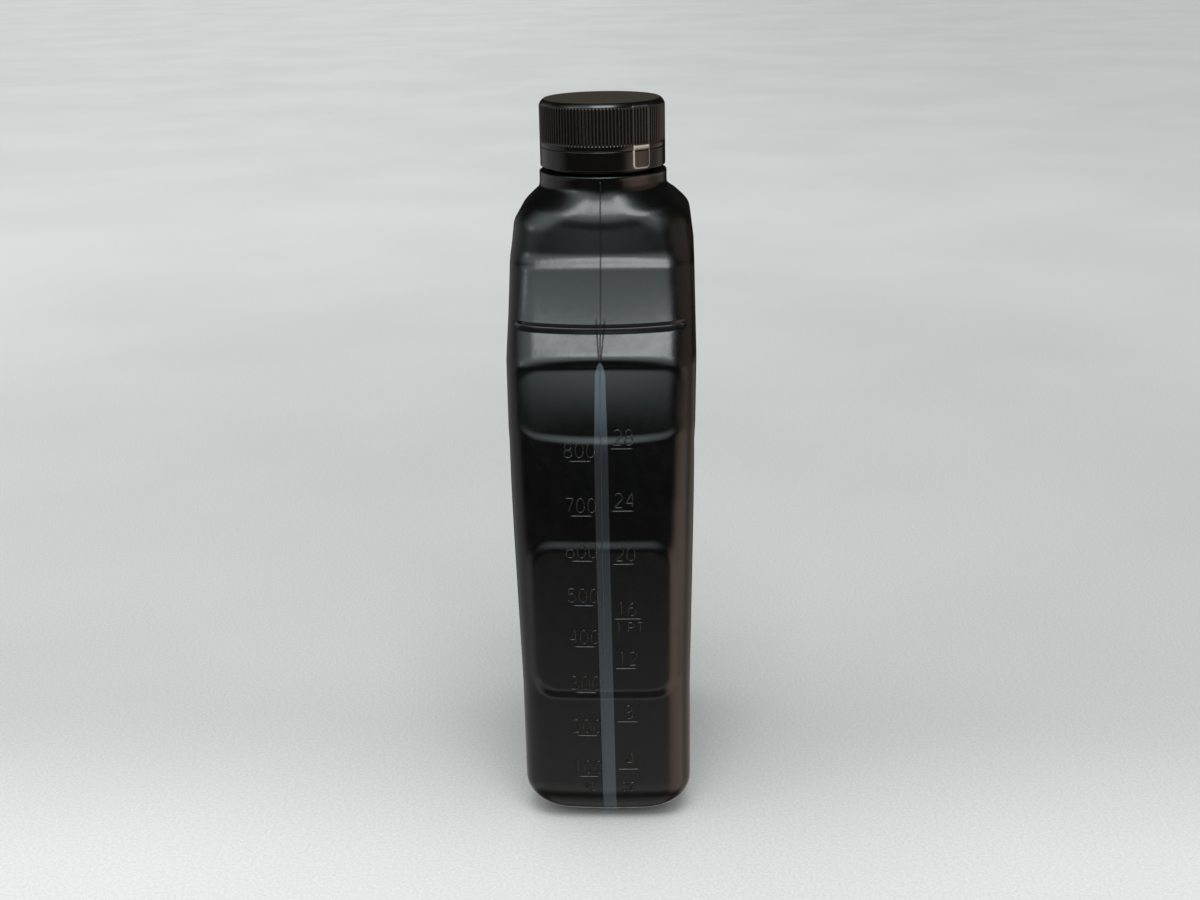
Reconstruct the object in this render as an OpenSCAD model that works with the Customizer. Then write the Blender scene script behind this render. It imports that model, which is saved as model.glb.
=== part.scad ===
// Blow-moulded oil bottle with a screw cap, a tamper ring and a sealing wad.
// The bottle stands on z = 0. Its narrow scale side faces +X and its broad label sides face +Y and -Y.
// Heights of the body are bands that stack up from the base, so each band moves what is above it.

/* [Body bands, from the base up] */
// Height of the plain band above the base
base_band_h = 49; // [36:0.5:60]
// Height of the raised side panel
panel_h = 53.5; // [40:0.5:70]
// Height of the plain band between the side panel and the grip
waist_h = 34.5; // [24:0.5:50]
// Height of the finger grip
grip_h = 24.1; // [18:0.1:30]
// Height of the brow over the grip, up to the groove
brow_h = 9.3; // [8:0.1:16]
// Height of the slope from the groove up to the ridge
slope_h = 20; // [14:0.1:24]
// Height of the steep wall over the ridge
wall_h = 10.6; // [8:0.1:18]
// Height of the shoulder that closes in to the collar
shoulder_h = 11.2; // [9:0.1:18]
// Height of the round collar under the neck
collar_h = 4.5; // [2.5:0.1:8]

/* [Body widths, across the narrow sides] */
// Width at the base
base_w = 112; // [100:1:124]
// Width at the waist, where the body is widest
waist_w = 113; // [104:1:128]
// Width at the brow
brow_w = 95.8; // [88:0.2:106]
// Width at the groove
groove_w = 78.4; // [72:0.2:86]
// Width at the foot of the ridge
ridge_w = 60.8; // [56:0.2:68]
// Width at the top of the steep wall
wall_w = 52; // [48:0.2:56]
// How far the ridge steps out on each side
ridge_step = 2.4; // [1.6:0.1:3]
// Half height of the ridge's step
ridge_half_h = 1.3; // [1:0.1:2]
// How far the slope sags inwards half-way up
slope_sag = 0.5; // [0:0.1:0.8]
// How far the narrow sides fall back towards their corners
crown = 1.6; // [0:0.2:3]

/* [Body depths, across the broad sides] */
// Depth at the base
base_d = 56.8; // [52:0.2:64]
// Depth at the brow, where the body is deepest
brow_d = 62; // [56:0.2:70]
// Depth at the ridge
ridge_d = 61; // [55:0.2:68]
// Depth at the top of the steep wall
wall_d = 58.4; // [52:0.2:62]
// How late the shoulder bends over: 1 is a straight cone
shoulder_bend = 1.7; // [1.2:0.1:2.4]

/* [Body edges] */
// Thickness of the blown wall
wall_t = 1.2; // [0.8:0.1:2]
// Radius of the four upright corners
corner_r = 9.5; // [6:0.5:13]
// Corner radius at the top of the steep wall
wall_corner_r = 24; // [14:0.5:24]
// Radius of the edge round the base
base_edge_r = 14; // [8:0.5:16]
// Width of the flat foot that the bottle stands on
foot_w = 3; // [2:0.5:6]
// Length of the slope from the foot up to the push-up
push_run = 4; // [2:0.5:6]
// Height of the push-up inside the foot
push_up = 1.6; // [0.5:0.1:3]

/* [Side reliefs] */
// How deep the finger grip is at the crest of its floor
grip_depth = 2.6; // [1:0.2:4]
// How much deeper the grip gets down to its foot
grip_bow = 1.8; // [0:0.2:3.6]
// Share of the grip's height where its floor has its crest
grip_crest = 0.62; // [0.5:0.02:0.8]
// Half height of the grip's lower edge
grip_low_edge = 1.2; // [0.8:0.1:2]
// Half height of the grip's upper edge, under the brow
grip_top_edge = 2.8; // [1.5:0.1:3.2]
// Share of the grip's depth that is lost towards its ends
grip_fade = 0.5; // [0:0.05:0.8]
// Length of the finger grip round the side
grip_len = 54; // [44:1:60]
// Corner radius of the finger grip
grip_corner_r = 7; // [4:0.5:9]
// How far the side panel stands out
panel_rise = 1; // [0.4:0.1:2]
// Length of the side panel round the side
panel_len = 48; // [36:1:56]
// Corner radius of the side panel
panel_corner_r = 8; // [3:0.5:12]
// Depth of the groove over the brow
groove_depth = 0.9; // [0.4:0.1:1.6]
// Depth of the label panels on the broad sides
label_depth = 0.5; // [0.2:0.1:1]
// Width of the label panels
label_w = 90; // [60:1:96]
// Corner radius of the label panels
label_corner_r = 6; // [3:0.5:12]
// Height of the label panels above the edge of the base
label_rise = 9; // [4:0.5:16]

/* [Arches, how much a band's edge drops at the broad sides] */
// Foot of the grip, which turns up
grip_arch = -3; // [-5:0.5:4]
// Brow over the grip
brow_arch = 1; // [-2:0.5:4]
// Groove, which turns up
groove_arch = -1.5; // [-4:0.5:3]
// Ridge
ridge_arch = 0.5; // [-1:0.5:5]
// Top of the steep wall, which turns up
wall_arch = -3; // [-4:0.5:2]

/* [Neck] */
// Diameter of the pouring mouth
mouth_dia = 30.6; // [24:0.2:36]
// Wall of the neck
neck_wall = 2; // [1.4:0.1:3]
// Height of the neck above the collar
neck_h = 20.5; // [18:0.5:26]
// How far the bead that holds the tamper ring stands out of the neck
bead_rise = 1.3; // [0.8:0.1:1.6]
// Thickness of that bead
bead_t = 1.6; // [1:0.1:2.4]
// Room for the thread between the neck and the cap
thread_room = 1.7; // [1.2:0.1:2.4]
// How far the collar stands out of the cap
collar_step = 0.4; // [0:0.1:2]

/* [Cap] */
// Wall of the cap from its bore to its plain rim
cap_wall = 2; // [1.6:0.1:2.6]
// Thickness of the cap's roof
roof_t = 1.9; // [1.2:0.1:3]
// Radius of the edge round the cap's top
cap_edge_r = 1.6; // [0.6:0.1:1.8]
// Number of grip ribs round the cap
rib_count = 112; // [60:2:140]
// Depth of the valleys between the ribs
rib_depth = 0.4; // [0.2:0.05:0.6]
// Height of the smooth rim below the ribs
cap_rim_h = 1.2; // [0.6:0.1:3]
// Thickness of the sealing wad
liner_t = 1.2; // [0.8:0.1:2]

/* [Tamper ring] */
// Height of the tamper ring
ring_h = 6.4; // [5.4:0.1:8]
// Gap between the ring and the collar
ring_gap = 1.5; // [0.8:0.1:2.5]
// Gap between the ring and the cap
score_gap = 0.4; // [0.3:0.1:0.8]
// Wall of the ring
ring_wall = 1.5; // [1:0.1:1.7]
// Number of bridge stubs left on the ring's top
bridge_count = 10; // [6:1:16]
// Width of a bridge stub
bridge_w = 1; // [0.6:0.1:2]
// Depth of the ring's hook under the bead
hook_h = 1; // [0.6:0.1:1.4]

/* [Index pad] */
// Angle of the pad from the scale side towards +Y
pad_angle = 40; // [0:1:90]
// Width of the pad on the cap
pad_w = 6.4; // [4:0.2:10]
// How far the pad and the tab stand out
pad_rise = 0.4; // [0.2:0.05:0.8]
// Width of the tab on the tamper ring
tab_w = 6.6; // [4:0.2:8]
// Height of the tab
tab_h = 5.8; // [3.4:0.2:5.8]
// Radius of the tab's lower corners
tab_corner_r = 1.4; // [0.4:0.1:1.8]

/* [Hidden] */
$fn = 96;

// Running clearance between pieces that fit each other
fit = 0.3;
// Overlap that makes two solids of one piece fuse
fuse = 0.2;

// Heights where one body band meets the next
label_bottom = base_edge_r + label_rise;
z_panel = base_band_h;
z_waist = z_panel + panel_h;
z_grip = z_waist + waist_h;
z_brow = z_grip + grip_h;
z_groove = z_brow + brow_h;
z_ridge = z_groove + slope_h;
z_wall = z_ridge + wall_h;
z_collar = z_wall + shoulder_h;
z_ledge = z_collar + collar_h;
z_mouth = z_ledge + neck_h;
z_roof = z_mouth + liner_t;
z_top = z_roof + roof_t;
z_ring = z_ledge + ring_gap;
z_score = z_ring + ring_h;
z_cap = z_score + score_gap;

mouth_r = mouth_dia / 2;
neck_r = mouth_r + neck_wall;
bead_r = neck_r + bead_rise;
cap_bore_r = neck_r + thread_room;
cap_r = cap_bore_r + cap_wall;
collar_r = cap_r + collar_step;

// Half height of a soft edge between two bands
soft = 2;
// Half height of the groove
crease = 1.8;
// Half length of the round that eases the outline from band to band
ease_h = 1;

// Rows of a table from the steep wall up to the round collar, on a curve that bends inwards
shoulder_steps = 4;
function shoulder_rows(wall_half) = [
    for (i = [0 : shoulder_steps])
        let (share = i / shoulder_steps)
        [z_wall + shoulder_h * share, wall_half + (collar_r - wall_half) * pow(share, shoulder_bend)]
];

// Rows of a table up the slope, which sags inwards between the groove and the foot of the ridge
slope_steps = 4;
slope_rows = [
    for (i = [1 : slope_steps - 1])
        let (share = i / slope_steps, rise = slope_h - ridge_half_h)
        [
            z_groove + rise * share,
            groove_w / 2 + (ridge_w - groove_w) / 2 * share - 4 * slope_sag * share * (1 - share)
        ]
];

// Half sizes and corner radius of the body by height
half_widths = [
    [0, base_w / 2], [z_grip, waist_w / 2], [z_brow, brow_w / 2], [z_groove, groove_w / 2],
    each slope_rows,
    [z_ridge - ridge_half_h, ridge_w / 2], [z_ridge + ridge_half_h, ridge_w / 2 - ridge_step],
    each shoulder_rows(wall_w / 2), [z_mouth, collar_r]
];
half_depths = [
    [0, base_d / 2], [z_panel, base_d / 2], [z_brow, brow_d / 2], [z_ridge, ridge_d / 2],
    each shoulder_rows(wall_d / 2), [z_mouth, collar_r]
];
corner_radii = [
    [0, corner_r], [z_ridge, corner_r], [z_wall, wall_corner_r], [z_collar, collar_r], [z_mouth, collar_r]
];
arches = [
    [z_waist, 0], [z_grip, grip_arch], [z_brow, brow_arch], [z_groove, groove_arch],
    [z_ridge, ridge_arch], [z_wall, wall_arch], [z_collar, 0]
];

// A table read at one height, averaged over a short length so that its bends are rounded
ease_steps = [-1, -0.5, 0, 0.5, 1];
function eased(table, h) =
    let (reads = [for (s = ease_steps) lookup(h + s * ease_h, table)])
    reads * [for (s = ease_steps) 1 / len(ease_steps)];

// Share of a relief at a signed distance from its edge: 1 well inside, 0 well outside
function inside(distance, half_edge) =
    let (t = max(0, min(1, (half_edge - distance) / (2 * half_edge))))
    t * t * (3 - 2 * t);

// Signed distance from a rectangle with round corners
function from_panel(across, h, length, low, high, r) =
    let (
        u = abs(across) - length / 2 + r,
        v = abs(h - (low + high) / 2) - (high - low) / 2 + r
    )
    norm([max(u, 0), max(v, 0)]) + min(max(u, v), 0) - r;

// How far the finger grip stands in: deepest at its foot, and less towards its ends
function grip_relief(y, h) =
    let (
        climb = max(0, min(1, (h - z_grip) / grip_h)),
        edge = grip_low_edge + (grip_top_edge - grip_low_edge) * climb,
        aside = min(1, abs(y) * 2 / grip_len),
        fade = 1 - grip_fade * aside * aside,
        depth = (grip_depth + grip_bow * pow(climb / grip_crest - 1, 2)) * fade
    )
    depth * inside(from_panel(y, h, grip_len, z_grip, z_brow, grip_corner_r), edge);

// How far the narrow side stands out of the plain outline
function side_relief(y, h) =
    panel_rise * inside(from_panel(y, h, panel_len, z_panel, z_waist, panel_corner_r), soft)
    - groove_depth * inside(abs(h - z_groove) - crease / 2, crease / 2) * inside(abs(y) - grip_len / 2, soft)
    - grip_relief(y, h);

// How far the broad side stands in
function label_relief(x, h) =
    label_depth * inside(from_panel(x, h, label_w, label_bottom, z_grip, label_corner_r), soft);

// Point of a rounded rectangle in a direction, where the direction is scaled to the rectangle's sides
function outline_point(a, b, r, angle) =
    let (
        run = [a * abs(cos(angle)), b * abs(sin(angle))],
        u = run / norm(run),
        c = [a - r, b - r],
        along = u * c,
        reach = u.y * a <= c.y * u.x ? a / u.x
            : u.x * b <= c.x * u.y ? b / u.y
            : along + sqrt(along * along - c * c + r * r)
    )
    [reach * u.x * sign(cos(angle)), reach * u.y * sign(sin(angle))];

// Directions of the points in one quarter, close together at the corner and at the label's edge
side_steps = 5;
corner_steps = 5;
broad_steps = 3;
ref = [waist_w / 2, brow_d / 2];
quarter_points = concat(
    [for (i = [0 : side_steps - 1]) [ref.x, (ref.y - corner_r) * i / side_steps]],
    [for (i = [0 : corner_steps])
        let (t = 90 * i / corner_steps)
        [ref.x - corner_r * (1 - cos(t)), ref.y - corner_r * (1 - sin(t))]],
    [for (i = [0 : broad_steps]) [(label_w / 2 - soft) * (1 - i / broad_steps), ref.y]]
);
quarter = [for (p = quarter_points) atan2(p.y / ref.y, p.x / ref.x)];
last = len(quarter) - 1;
ring_angles = concat(
    [for (i = [0 : last - 1]) quarter[i]],
    [for (i = [last : -1 : 1]) 180 - quarter[i]],
    [for (i = [0 : last - 1]) 180 + quarter[i]],
    [for (i = [last : -1 : 1]) 360 - quarter[i]]
);
ring_size = len(ring_angles);

// Stations up the wall: height, how far in from the plain outline, and the way into the wall
edge_steps = 5;
// Longest stretch between two stations of a band
band_step = 9;
foot_in = base_edge_r + foot_w;
// Each band edge with its half height, where stations lie close together
band_edges = [
    [z_panel, soft], [z_waist, soft], [z_grip, grip_low_edge], [z_brow, grip_top_edge],
    [z_groove, crease], [z_ridge, ridge_half_h + ease_h], [z_wall, ease_h]
];
foot_stations = [[push_up, foot_in + push_run, 0, 1], [0, foot_in, 0, 1]];
edge_stations = [
    for (i = [0 : edge_steps])
        let (t = 90 * i / edge_steps)
        [base_edge_r * (1 - cos(t)), base_edge_r * (1 - sin(t)), sin(t), cos(t)]
];
label_stations = [for (s = [-soft, soft]) [label_bottom + s, 0, 1, 0]];
band_stations = [
    for (i = [0 : len(band_edges) - 1])
        let (
            edge = band_edges[i],
            next = i + 1 < len(band_edges) ? band_edges[i + 1] : [z_collar, ease_h],
            start = edge[0] + edge[1],
            run = next[0] - next[1] - start,
            steps = max(1, round(run / band_step))
        )
        each concat(
            [[edge[0] - edge[1], 0, 1, 0], [edge[0], 0, 1, 0]],
            [for (k = [0 : steps - 1]) [start + run * k / steps, 0, 1, 0]]
        )
];
collar_stations = [[z_collar - ease_h, 0, 1, 0], [z_collar, 0, 1, 0], [z_ledge, 0, 1, -1]];
stations = concat(foot_stations, edge_stations, label_stations, band_stations, collar_stations);

// How far the wall's inside drops under the grip's foot, which is nearly level
foot_drop = 0.8;
function under_foot(y, h) =
    foot_drop * inside(abs(h - z_grip) - 1.5 * grip_low_edge, grip_low_edge / 2)
    * inside(abs(y) - grip_len / 2 + soft, soft);

// One ring of the body's skin, moved into the wall by inset
function skin_ring(station, inset) =
    let (
        h = station[0],
        shrink = station[1] + inset * station[2],
        a = eased(half_widths, h) - shrink,
        arch = lookup(h, arches),
        b = eased(half_depths, h - arch) - shrink,
        r = min(eased(corner_radii, h) - inset * station[2], a, b)
    )
    [
        for (angle = ring_angles)
            let (
                p = outline_point(a, b, r, angle),
                aside = pow(p.y / b, 2),
                out = side_relief(p.y, h),
                back = label_relief(p.x, h) * inside(b - abs(p.y) - soft, soft)
            )
            [
                p.x * (1 - crown * aside / a) + sign(p.x) * out,
                p.y - sign(p.y) * back,
                h + inset * (station[3] - under_foot(p.y, h)) - arch * aside
            ]
    ];

// A round ring at the neck, inside the neck's own wall
function mouth_ring(h) = [
    for (angle = ring_angles)
        let (p = outline_point(collar_r, collar_r, collar_r, angle))
        [p.x * (mouth_r + neck_r) / (2 * collar_r), p.y * (mouth_r + neck_r) / (2 * collar_r), h]
];

// Closed skin through a list of rings, the first and the last ring capped
module ring_skin(rings) {
    count = len(rings);
    polyhedron(
        points = [for (ring = rings) each ring],
        faces = concat(
            [[for (i = [0 : ring_size - 1]) i]],
            [[for (i = [ring_size - 1 : -1 : 0]) (count - 1) * ring_size + i]],
            [
                for (k = [0 : count - 2], i = [0 : ring_size - 1])
                    let (
                        low = k * ring_size,
                        high = low + ring_size,
                        next = (i + 1) % ring_size
                    )
                    each [[low + i, high + i, high + next], [low + i, high + next, low + next]]
            ]
        )
    );
}

// Hollow body from the foot up its outside, over the ledge and down its inside
module body_skin() {
    outer = [for (s = stations) skin_ring(s, 0)];
    inner = [for (i = [len(stations) - 1 : -1 : 0]) skin_ring(stations[i], wall_t)];
    ring_skin(concat(outer, [mouth_ring(z_ledge), mouth_ring(z_ledge - wall_t)], inner));
}

// Neck tube with the bead that holds the tamper ring and a chamfered lip
z_bead = z_ring + ring_h / 2;
lip = 0.6;
module neck() {
    rotate_extrude()
        polygon([
            [mouth_r, z_ledge - wall_t - fuse],
            [neck_r, z_ledge - wall_t - fuse],
            [neck_r, z_bead - fit],
            [bead_r, z_bead],
            [bead_r, z_bead + bead_t / 2],
            [neck_r, z_bead + bead_t],
            [neck_r, z_mouth - lip],
            [neck_r - lip, z_mouth],
            [mouth_r, z_mouth]
        ]);
}

module bottle_body() {
    color([0.07, 0.075, 0.08]) {
        union() {
            body_skin();
            neck();
        }
    }
}

// Tab on the ring: a flat top, straight sides and round lower corners, bent to the ring
module tab_outline() {
    translate([-tab_w / 2, tab_corner_r])
        square([tab_w, tab_h - tab_corner_r]);
    translate([tab_corner_r - tab_w / 2, 0])
        square([tab_w - 2 * tab_corner_r, tab_h]);
    for (side = [-1, 1])
        translate([side * (tab_w / 2 - tab_corner_r), tab_corner_r])
            circle(r = tab_corner_r);
}

module ring_tab() {
    rotate([0, 0, pad_angle])
        intersection() {
            translate([0, 0, z_ring])
                difference() {
                    cylinder(r = cap_r + pad_rise, h = ring_h);
                    translate([0, 0, -fuse])
                        cylinder(r = cap_r - ring_wall / 2, h = ring_h + 2 * fuse);
                }
            translate([0, 0, z_score - tab_h])
                rotate([90, 0, 90])
                    linear_extrude(height = 2 * cap_r)
                        tab_outline();
        }
}

// Ring wall with an inner lip that hooks under the neck's bead
module tamper_ring() {
    wall_r = cap_r - ring_wall;
    lip_r = neck_r + fit;
    hook_z = z_bead - 2 * fit;
    color([0.05, 0.05, 0.05])
        union() {
            rotate_extrude()
                polygon([
                    [wall_r, z_ring], [cap_r - lip / 2, z_ring], [cap_r, z_ring + lip / 2],
                    [cap_r, z_score], [wall_r, z_score], [wall_r, hook_z],
                    [lip_r, hook_z], [lip_r, hook_z - hook_h], [wall_r, hook_z - 2 * hook_h]
                ]);
            ring_tab();
            for (i = [0 : bridge_count - 1])
                rotate([0, 0, 360 * i / bridge_count])
                    translate([wall_r + fuse, -bridge_w / 2, z_score - fuse])
                        cube([ring_wall - 2 * fuse, bridge_w, score_gap]);
        }
}

// Ribbed outline of the cap, just inside its plain rim, with the index pad standing out
rib_sink = 0.08;
rib_crest = 0.4;
rib_pitch = 360 / rib_count;
pad_half_angle = asin(pad_w / (2 * cap_r));
function rib_point(radius, angle) =
    let (
        on_pad = abs(angle - pad_angle) < pad_half_angle,
        r = on_pad ? radius + pad_rise : radius
    )
    [r * cos(angle), r * sin(angle)];
rib_outline = [
    for (i = [0 : rib_count - 1])
        each [
            rib_point(cap_r - rib_depth, rib_pitch * i),
            rib_point(cap_r - rib_sink, rib_pitch * (i + 0.5 - rib_crest / 2)),
            rib_point(cap_r - rib_sink, rib_pitch * (i + 0.5 + rib_crest / 2))
        ]
];

// Wedge that carries the index pad down over the plain rim
pad_steps = 4;
pad_wedge = concat([[0, 0]], [
    for (i = [0 : pad_steps])
        let (angle = pad_angle + pad_half_angle * (2 * i / pad_steps - 1))
        (cap_r + pad_rise) * [cos(angle), sin(angle)]
]);

// Screw cap: plain rim, ribbed skirt and roof with a round edge
module cap() {
    z_ribs = z_cap + cap_rim_h;
    z_edge = z_top - cap_edge_r;
    color([0.06, 0.055, 0.05])
        difference() {
            union() {
                translate([0, 0, z_cap])
                    linear_extrude(height = cap_rim_h)
                        union() {
                            circle(r = cap_r);
                            polygon(pad_wedge);
                        }
                translate([0, 0, z_ribs])
                    linear_extrude(height = z_edge - z_ribs)
                        polygon(rib_outline);
                rotate_extrude()
                    union() {
                        translate([0, z_edge])
                            square([cap_r - cap_edge_r, cap_edge_r]);
                        intersection() {
                            translate([cap_r - cap_edge_r, z_edge])
                                circle(r = cap_edge_r);
                            translate([cap_r - cap_edge_r - fuse, z_edge])
                                square([cap_edge_r + fuse, cap_edge_r]);
                        }
                    }
            }
            translate([0, 0, z_cap - fuse])
                cylinder(r = cap_bore_r, h = z_roof - z_cap + fuse);
        }
}

// Foam wad that seals the mouth, held under the cap's roof
module cap_liner() {
    color([0.85, 0.85, 0.82])
        translate([0, 0, z_mouth])
            cylinder(r = cap_bore_r - fit, h = liner_t);
}

bottle_body();
tamper_ring();
cap();
cap_liner();
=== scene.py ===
# Looks of the oil bottle: a blown body with a view stripe and a level scale, and a ribbed cap over a ring.
# Shapes are worked out in millimetres, in the CAD model's frame, and become metres when a mesh is made.
import math

import bpy
import numpy as np
from mathutils import Matrix, Vector


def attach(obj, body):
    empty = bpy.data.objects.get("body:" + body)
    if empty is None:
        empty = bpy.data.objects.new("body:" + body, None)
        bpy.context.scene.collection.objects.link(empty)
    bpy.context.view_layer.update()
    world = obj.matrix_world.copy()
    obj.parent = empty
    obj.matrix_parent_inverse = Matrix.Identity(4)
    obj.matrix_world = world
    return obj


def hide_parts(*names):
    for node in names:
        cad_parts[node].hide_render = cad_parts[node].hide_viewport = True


MM = 0.001

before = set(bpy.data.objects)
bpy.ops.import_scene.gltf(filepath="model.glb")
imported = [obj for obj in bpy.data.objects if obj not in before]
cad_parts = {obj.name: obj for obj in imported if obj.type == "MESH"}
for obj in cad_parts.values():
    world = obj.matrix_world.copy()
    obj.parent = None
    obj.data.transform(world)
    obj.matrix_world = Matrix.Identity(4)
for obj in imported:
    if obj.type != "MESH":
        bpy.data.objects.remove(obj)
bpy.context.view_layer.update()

# Heights of the bands, the same stack as in the CAD model
BASE_BAND_H = 49.0
PANEL_H = 53.5
WAIST_H = 34.5
GRIP_H = 24.1
BROW_H = 9.3
SLOPE_H = 20.0
WALL_H = 10.6
SHOULDER_H = 11.2
COLLAR_H = 4.5
NECK_H = 20.5
LINER_T = 1.2
ROOF_T = 1.9
RING_GAP = 1.5
RING_H = 6.4
SCORE_GAP = 0.4
BEAD_LIFT = 3.2

# Heights where one band meets the next
Z_PANEL = BASE_BAND_H
Z_WAIST = Z_PANEL + PANEL_H
Z_GRIP = Z_WAIST + WAIST_H
Z_BROW = Z_GRIP + GRIP_H
Z_GROOVE = Z_BROW + BROW_H
Z_RIDGE = Z_GROOVE + SLOPE_H
Z_WALL = Z_RIDGE + WALL_H
Z_COLLAR = Z_WALL + SHOULDER_H
Z_LEDGE = Z_COLLAR + COLLAR_H
Z_MOUTH = Z_LEDGE + NECK_H
Z_ROOF = Z_MOUTH + LINER_T
Z_TOP = Z_ROOF + ROOF_T
Z_RING = Z_LEDGE + RING_GAP
Z_BEAD = Z_RING + BEAD_LIFT
Z_SCORE = Z_RING + RING_H
Z_CAP = Z_SCORE + SCORE_GAP

# Radii from the mouth outwards
NECK_WALL = 2.0
THREAD_ROOM = 1.7
CAP_WALL = 2.0
COLLAR_STEP = 0.4
MOUTH_R = 15.3
NECK_R = MOUTH_R + NECK_WALL
BORE_R = NECK_R + THREAD_ROOM
CAP_R = BORE_R + CAP_WALL
COLLAR_R = CAP_R + COLLAR_STEP

# Half widths and half depths of the body at its bands
BASE_HALF_W = 56.0
WAIST_HALF_W = 56.4
TAPER_HALF_W = 55.6
TAPER_LIFT = 14.0
GRIP_HALF_W = 53.0
BROW_HALF_W = 47.9
GROOVE_HALF_W = 39.2
RIDGE_HALF_W = 30.4
WALL_HALF_W = 26.0
BASE_HALF_D = 28.4
BROW_HALF_D = 31.0
RIDGE_HALF_D = 30.5
WALL_HALF_D = 29.2

# How far a band drops from a narrow side's middle to its corners, and the radii of the upright corners
GRIP_ARCH = -3.0
BROW_ARCH = 1.0
GROOVE_ARCH = -1.5
RIDGE_ARCH = 0.5
WALL_ARCH = -7.0
CORNER_R = 9.5
WALL_CORNER_R = 12.0
SHOULDER_CORNER_R = 18.0
SHOULDER_CORNER_DROP = 3.0

# Body edges and reliefs
WALL_T = 1.2
BASE_EDGE_R = 14.0
FOOT_W = 3.0
PUSH_RUN = 4.0
PUSH_UP = 1.6
RIDGE_STEP = 2.4
RIDGE_HALF_H = 1.3
GRIP_DEPTH = 0.45
GRIP_BOW = 0.35
GRIP_CREST = 0.3
GRIP_LOW_EDGE = 1.5
GRIP_TOP_EDGE = 2.8
GRIP_FADE = 0.7
GRIP_LEN = 54.0
GRIP_CORNER_R = 7.0
PANEL_RISE = 1.0
PANEL_LEN = 48.0
PANEL_CORNER_R = 8.0
GROOVE_DEPTH = 1.2
CREASE = 1.3
LABEL_DEPTH = 0.5
LABEL_W = 90.0
LABEL_CORNER_R = 6.0
LABEL_BOTTOM = BASE_EDGE_R + 9.0
SOFT = 2.0
EASE_H = 1.0
SHOULDER_BEND = 1.1
SHOULDER_STEPS = 14
SLOPE_SAG = 0.5
SLOPE_STEPS = 8
CROWN = 1.6


def smooth(t):
    """Smooth step, level at 0 and at 1."""
    return t * t * (3 - 2 * t)


def shoulder(wall_half):
    """Rows of a table from the steep wall up to the round collar, on a curve that bends in and then up."""
    shares = np.linspace(0, 1, SHOULDER_STEPS + 1)
    heights = Z_WALL + shares * (Z_COLLAR - Z_WALL)
    return list(zip(heights, wall_half + (COLLAR_R - wall_half) * smooth(shares ** SHOULDER_BEND)))


def slope(low_half, high_half):
    """Rows of a table up the slope, which sags inwards between the groove and the foot of the ridge."""
    shares = np.linspace(0, 1, SLOPE_STEPS + 1)[1:-1]
    heights = Z_GROOVE + shares * (Z_RIDGE - RIDGE_HALF_H - Z_GROOVE)
    sag = 4 * SLOPE_SAG * shares * (1 - shares)
    return list(zip(heights, low_half + (high_half - low_half) * shares - sag))


HALF_WIDTHS = [
    (0, BASE_HALF_W),
    (Z_WAIST, WAIST_HALF_W),
    (Z_WAIST + TAPER_LIFT, TAPER_HALF_W),
    (Z_GRIP, GRIP_HALF_W),
    (Z_BROW, BROW_HALF_W),
    (Z_GROOVE, GROOVE_HALF_W),
    *slope(GROOVE_HALF_W, RIDGE_HALF_W),
    (Z_RIDGE - RIDGE_HALF_H, RIDGE_HALF_W),
    (Z_RIDGE + RIDGE_HALF_H, RIDGE_HALF_W - RIDGE_STEP),
    *shoulder(WALL_HALF_W),
    (Z_MOUTH, COLLAR_R),
]
HALF_DEPTHS = [
    (0, BASE_HALF_D),
    (Z_PANEL, BASE_HALF_D),
    (Z_BROW, BROW_HALF_D),
    (Z_RIDGE, RIDGE_HALF_D),
    *shoulder(WALL_HALF_D),
    (Z_MOUTH, COLLAR_R),
]
CORNER_RADII = [
    (0, CORNER_R),
    (Z_RIDGE, CORNER_R),
    (Z_WALL, WALL_CORNER_R),
    (Z_COLLAR - SHOULDER_CORNER_DROP, SHOULDER_CORNER_R),
    (Z_COLLAR, COLLAR_R),
    (Z_MOUTH, COLLAR_R),
]
ARCHES = [
    (Z_WAIST, 0),
    (Z_GRIP, GRIP_ARCH),
    (Z_BROW, BROW_ARCH),
    (Z_GROOVE, GROOVE_ARCH),
    (Z_RIDGE, RIDGE_ARCH),
    (Z_WALL, WALL_ARCH),
    (Z_COLLAR, 0),
]


def lookup(table, h):
    """A table read at a height, straight between its rows."""
    heights, values = np.array(table, float).T
    return np.interp(h, heights, values)


def eased(table, h):
    """A table read at a height, averaged over a short length so that its bends are rounded."""
    return np.mean([lookup(table, h + s * EASE_H) for s in (-1, -0.5, 0, 0.5, 1)], axis=0)


def inside(distance, half_edge):
    """Share of a relief at a signed distance from its edge: 1 well inside, 0 well outside."""
    return smooth(np.clip((half_edge - distance) / (2 * half_edge), 0, 1))


def from_panel(across, h, length, low, high, r):
    """Signed distance from a rectangle with round corners."""
    u = np.abs(across) - length / 2 + r
    v = np.abs(h - (low + high) / 2) - (high - low) / 2 + r
    return np.hypot(np.maximum(u, 0), np.maximum(v, 0)) + np.minimum(np.maximum(u, v), 0) - r


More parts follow.
